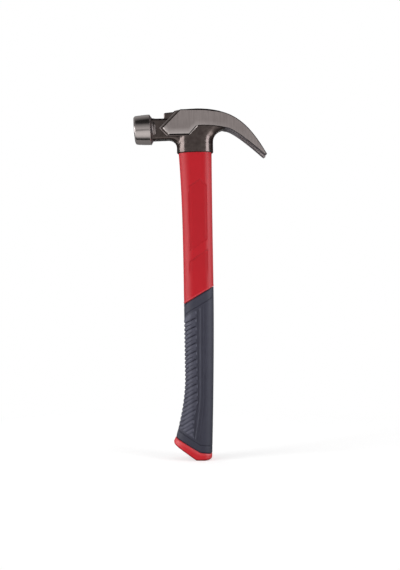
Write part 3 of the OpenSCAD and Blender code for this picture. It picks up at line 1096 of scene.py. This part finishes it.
# wedge between the claw's prongs, wider on the claw's back than underneath
def slotCutter():
    look = slotLook
    tipX, tipH = headLook["tip"]
    rings = []
    for k in range(-1, look["stations"] + 2):
        t = k / look["stations"]
        lean = radians(headLook["tipAngle"]) * smooth(t) * look["lean"]
        fall = clamp(t, 0, look["past"]) ** look["fall"]
        height = mix(look["rootHeight"], tipH - look["tipDrop"], fall)
        middle = Vector((mix(look["root"], tipX, t), height))
        reach = mix(*look["reach"], clamp(t))
        along = Vector((sin(lean), cos(lean))) * reach
        half = mix(look["rootHalf"], look["tipHalf"], t) if k >= 0 else look["startHalf"]
        wide = half + reach * look["slope"]
        thin = max(look["thinnest"], half - reach * look["slope"])
        top, low = middle + along, middle - along
        corners = ((top, -wide), (top, wide), (low, thin), (low, -thin))
        rings.append([(p.x, y, seat + p.y) for p, y in corners])
    return loft("slotCutter", rings)


eyeLook = dict(
    rod=(9, 6.5, 4.5), gap=(1.2, 1.5), crownHeight=43, chamfer=0.9, cornerSteps=8,
    past=1,  # the cutter stands out this far below and above
)


def eyeRing(h, extra=0):
    reach, half, corner = eyeLook["rod"]
    gap = eyeLook["gap"][0] + eyeLook["gap"][1] * h / eyeLook["crownHeight"] + extra
    points = []
    for x, y, start in ((1, 1, 0), (-1, 1, 90), (-1, -1, 180), (1, -1, 270)):
        centre = (x * (reach + gap - corner), y * (half + gap - corner))
        points += arc(centre, corner, start, start + 90, eyeLook["cornerSteps"])
    return [(px, py, seat + h) for px, py in points]


def eyeCutter():
    crown, chamfer, past = eyeLook["crownHeight"], eyeLook["chamfer"], eyeLook["past"]
    rings = [eyeRing(-past), eyeRing(crown - chamfer), eyeRing(crown + past, chamfer + past)]
    return loft("eyeCutter", rings)


grooveLook = dict(
    sides=40,
    groove=(2.5, 41.5),  # radius and height of the nail's groove on the block
    grooveSpan=(-33, -21.5),
    pocket=(2.6, -26.25, 36.0),  # magnet's pocket: radius, X and floor
    pocketTall=8,
)


def roundCutter(name, radius, tall, x, height, turn):
    cutter = begin(
        name, bpy.ops.mesh.primitive_cylinder_add,
        vertices=grooveLook["sides"], radius=radius * mm, depth=tall * mm,
        location=(x * mm, 0, (seat + height) * mm), rotation=(0, radians(turn), 0))
    bpy.ops.object.transform_apply(location=True, rotation=True, scale=True)
    return cutter


def grooveCutters():
    start, end = grooveLook["grooveSpan"]
    radius, height = grooveLook["groove"]
    groove = roundCutter("groove", radius, end - start, (start + end) / 2, height, 90)
    radius, x, floor = grooveLook["pocket"]
    tall = grooveLook["pocketTall"]
    return groove, roundCutter("pocket", radius, tall, x, floor + tall / 2, 0)


def makeHead():
    finishes = [
        mixFinish("groundSteel", groundLook, wornEdgeSheen),
        mixFinish("forgedSteel", forgedLook),
        mixFinish("polishedSteel", polishedLook),
        mixFinish("shoulderSteel", shoulderLook, bellyRoot),
        mixFinish("shadowLineSteel", shadowLineLook),
    ]
    head = makeForging()
    head.name = "hammerHead"
    wear(head, finishes, forged)
    steps = [
        (chamferedSlab("boss", bossLook), bossFinish, "UNION"),
        (makePlate(), plateFinish, "UNION"),
        (makePoll(), pollFinish, "UNION"),
        (chamferedSlab("block", blockLook), forged, "UNION"),
        (slotCutter(), ground, "DIFFERENCE"),
        (eyeCutter(), forged, "DIFFERENCE"),
    ]
    steps += [(cutter, forged, "DIFFERENCE") for cutter in grooveCutters()]
    for piece, choice, how in steps:
        wear(piece, finishes, choice)
        combine(head, piece, how)
    closeUp(head, merge=headLook["merge"])
    hangOn(head, headLook["sharp"], "hammer_head")


# Camera, floor, light

view = dict(
    target=(1.98, 0, 84.98), distance=1000,
    lean=1.0,  # the handle's top leans this far to the left in the picture, degrees
    longSide=570,  # long side of the picture at the target
    sensor=36,
)


def setCamera():
    x, y, z = view["target"]
    place = (x * mm, (y - view["distance"]) * mm, z * mm)
    camera = begin("camera", bpy.ops.object.camera_add, location=place)
    level = Matrix.Rotation(radians(90), 3, "X")
    lean = Matrix.Rotation(radians(-view["lean"]), 3, "Z")
    camera.rotation_euler = (level @ lean).to_euler()
    camera.data.sensor_width = view["sensor"]
    camera.data.lens = view["sensor"] * view["distance"] / view["longSide"]
    scene.camera = camera


floorLook = dict(
    size=30, paper=rgb(0.68, 0.68, 0.68),
    lift=0.56,  # glow for the camera, so that lit paper shows as white
    white=[(200, 0), (420, 1)],  # the paper turns plain white further away
    gloss=rgb(0.35, 0.35, 0.35), glossRough=0.15,
    mirror=[(650, 0), (950, 1)],  # it mirrors the panels far away, and not on the left
    mirrorX=[(-450, 0), (-200, 1)],
    # brightness in reflections, from behind to the front
    shine=[
        (-5000, 1.4), (-3944, 1), (-3086, 0.12), (-2228, 0.03), (-710, 0.22), (-116, 0.33),
        (-17, 0.36), (62.2, 0.46), (187.6, 0.8), (299.8, 1), (497.8, 1.05), (1600, 0.4),
    ],
    # a dark card lies under the poll: across, then from behind to the front
    cardX=[(-50, 1), (-30, 0)], cardY=[(-15, 0), (1, 1), (65, 1), (185, 0)], cardDark=0.88,
    # and bright cards at both sides
    sidesX=[
        (-510, 0), (-487.5, 1), (-430.5, 1), (-400.5, 0), (400.5, 0), (450, 1), (795, 1), (900, 0),
    ],
    sidesY=[(-160, 0), (-102, 1), (379.4, 1), (420, 0)], sideLift=2.3,
)


def layFloor():
    look = floorLook
    plane = bpy.ops.mesh.primitive_plane_add
    floor = begin("studioFloor", plane, size=look["size"], location=(0, 0, cadBox[0].z))
    material = bpy.data.materials.new("paperFloor")
    sheet = Sheet(material)

    def mixed(factor, first, second):
        return sheet.add("ShaderNodeMixShader", None, {0: factor, 1: first, 2: second})

    def both(first, second):
        return sheet.add("ShaderNodeAddShader", None, {0: first, 1: second})

    def glow(colour):
        return sheet.add("ShaderNodeEmission", None, {"Color": colour, "Strength": 1})

    camera, spot = sheet.ray("Is Camera Ray"), sheet.place()
    x, forward = sheet.axis(spot, "X"), sheet.axis(spot, "Y") * -1
    away = sheet.add("ShaderNodeVectorMath", {"operation": "LENGTH"}, {0: spot}, "Value")
    paper = sheet.add("ShaderNodeBsdfDiffuse", None, {"Color": look["paper"]})
    clear = (camera + sheet.ray("Is Transmission Ray")) * sheet.graph(away, look["white"])
    plain = mixed(clear, both(paper, glow(camera * look["lift"])), glow(rgb(1, 1, 1)))
    card = sheet.graph(x, look["cardX"]) * sheet.graph(forward, look["cardY"])
    level = sheet.graph(forward, look["shine"]) * (1 - card * look["cardDark"])
    sides = sheet.graph(x, look["sidesX"]) * sheet.graph(forward, look["sidesY"])
    shine = glow(level + sides * look["sideLift"])
    gloss = {"Color": look["gloss"], "Roughness": look["glossRough"]}
    mirror = sheet.add("ShaderNodeBsdfGlossy", None, gloss)
    outer = sheet.graph(away, look["mirror"]) * sheet.graph(x, look["mirrorX"])
    shown = mixed(outer, shine, both(mirror, shine))
    surface = mixed(sheet.ray("Is Glossy Ray"), plain, shown)
    sheet.add("ShaderNodeOutputMaterial", None, {"Surface": surface})
    wear(floor, [material])


# angle round from the camera, degrees; width and height of the panel; level;
# a gleam, with its tint, is seen in reflections only, and the others never are
lamps = dict(
    leftPanel=dict(angle=-66, size=(640, 1000), level=4.8),
    rightPanel=dict(angle=52, size=(640, 1000), level=3.6),
    leftGleam=dict(angle=-74, size=(1060, 590), level=5.6, gleam=(0.98, 1, 1.02)),
    rightGleam=dict(angle=73, size=(920, 1000), level=5.1, gleam=(0.96, 1, 1.06)),
    backPanel=dict(angle=-150, size=(500, 1000), level=1.5),
)
lampFar = 1200
lampLift = 20  # gap between a panel and the floor


def hangLamps():
    for name, lamp in lamps.items():
        turn = radians(lamp["angle"])
        wide, high = (s * mm for s in lamp["size"])
        place = Vector((sin(turn), -cos(turn), 0)) * lampFar * mm
        place.z = cadBox[0].z + lampLift * mm + high / 2
        facing = (radians(90), 0, turn)
        panel = begin(name, bpy.ops.object.light_add, type="AREA", location=place, rotation=facing)
        panel.data.shape = "RECTANGLE"
        panel.data.size, panel.data.size_y = wide, high
        panel.data.energy = lamp["level"] * pi * wide * high
        panel.data.color = lamp.get("gleam", (1, 1, 1))
        panel.visible_camera = False
        panel.visible_glossy = "gleam" in lamp
        panel.visible_diffuse = "gleam" not in lamp


studio = dict(
    diffuse=0.33,
    sides=0.22,  # more of it from the left and the right
    # in reflections, front to back
    round=[(0, 0.73), (0.1, 0.71), (0.4, 0.5), (0.85, 0.45), (0.97, 0.1)],
    flag=(0, 0.485, 0.875),  # a dark flag hangs overhead: how far to the left, the front and up
    flagEdge=[(0.4, 1), (0.545, 0.9), (0.67, 0.75), (0.8, 0.53), (0.89, 0.33), (0.951, 0.06)],
    leftFlag=(0.9, 0.2, 0.4),  # and another one on the left
    leftEdge=[(0.9, 1), (0.97, 0.08)],
)


def lightRoom():
    look = studio
    scene.world = bpy.data.worlds.new("studioRoom")
    sheet = Sheet(scene.world)
    direction = sheet.add("ShaderNodeTexCoord", output="Generated")
    x, y, z = (sheet.axis(direction, name) for name in "XYZ")

    def flagged(place, edge):
        left, front, up = place
        return sheet.ramp(z * up - x * left - y * front, edge)

    around = sheet.ramp(y * 0.5 + 0.5, look["round"])
    flags = flagged(look["flag"], look["flagEdge"]) * flagged(look["leftFlag"], look["leftEdge"])
    glossy = flags * around * sheet.ray("Is Glossy Ray")
    diffuse = (x * x * look["sides"] + look["diffuse"]) * sheet.ray("Is Diffuse Ray")
    level = sheet.ray("Is Camera Ray") + sheet.ray("Is Transmission Ray") + glossy + diffuse
    sky = sheet.add("ShaderNodeBackground", None, {"Color": rgb(1, 1, 1), "Strength": level})
    sheet.add("ShaderNodeOutputWorld", None, {"Surface": sky})


setCamera()
layFloor()
hangLamps()
lightRoom()
scene.view_settings.view_transform = "Standard"
print("stage is set")

for node, look in insideLooks.items():
    wear(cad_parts[node], [mixFinish(look["finish"], look)])
print("pieces inside have their finishes")

makeJacket()
makeGrip()
makeCap()
makeHead()
